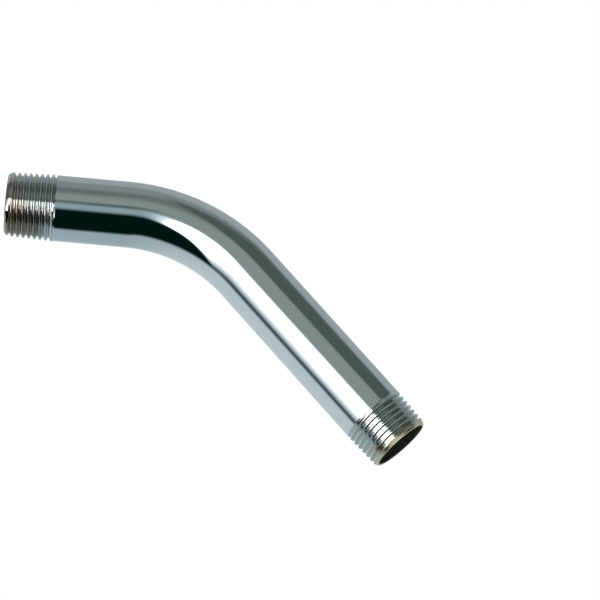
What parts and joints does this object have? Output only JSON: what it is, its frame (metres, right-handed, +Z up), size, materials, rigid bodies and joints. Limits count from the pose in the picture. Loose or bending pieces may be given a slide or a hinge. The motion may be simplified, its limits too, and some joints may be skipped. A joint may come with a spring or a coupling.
{
  "type": "shower arm",
  "caption": "Bent chrome-plated brass tube with a male taper pipe thread at each end, carrying water from a wall fitting out and down to a shower head.",
  "frame": {"origin": "the middle of the inlet end face, where the arm screws into the wall fitting", "axes": "+X along the inlet leg, out of the wall; +Z up; the outlet leg turns down in the XZ plane"},
  "size_m": [0.1391, 0.0216, 0.0872],
  "materials": {
    "chrome_plate": "bright polished chrome plate, worn to warm brass on the outermost turns of both threads"
  },
  "bodies": {
    "root": {"shower_arm": "chrome_plate"}
  },
  "joints": []
}
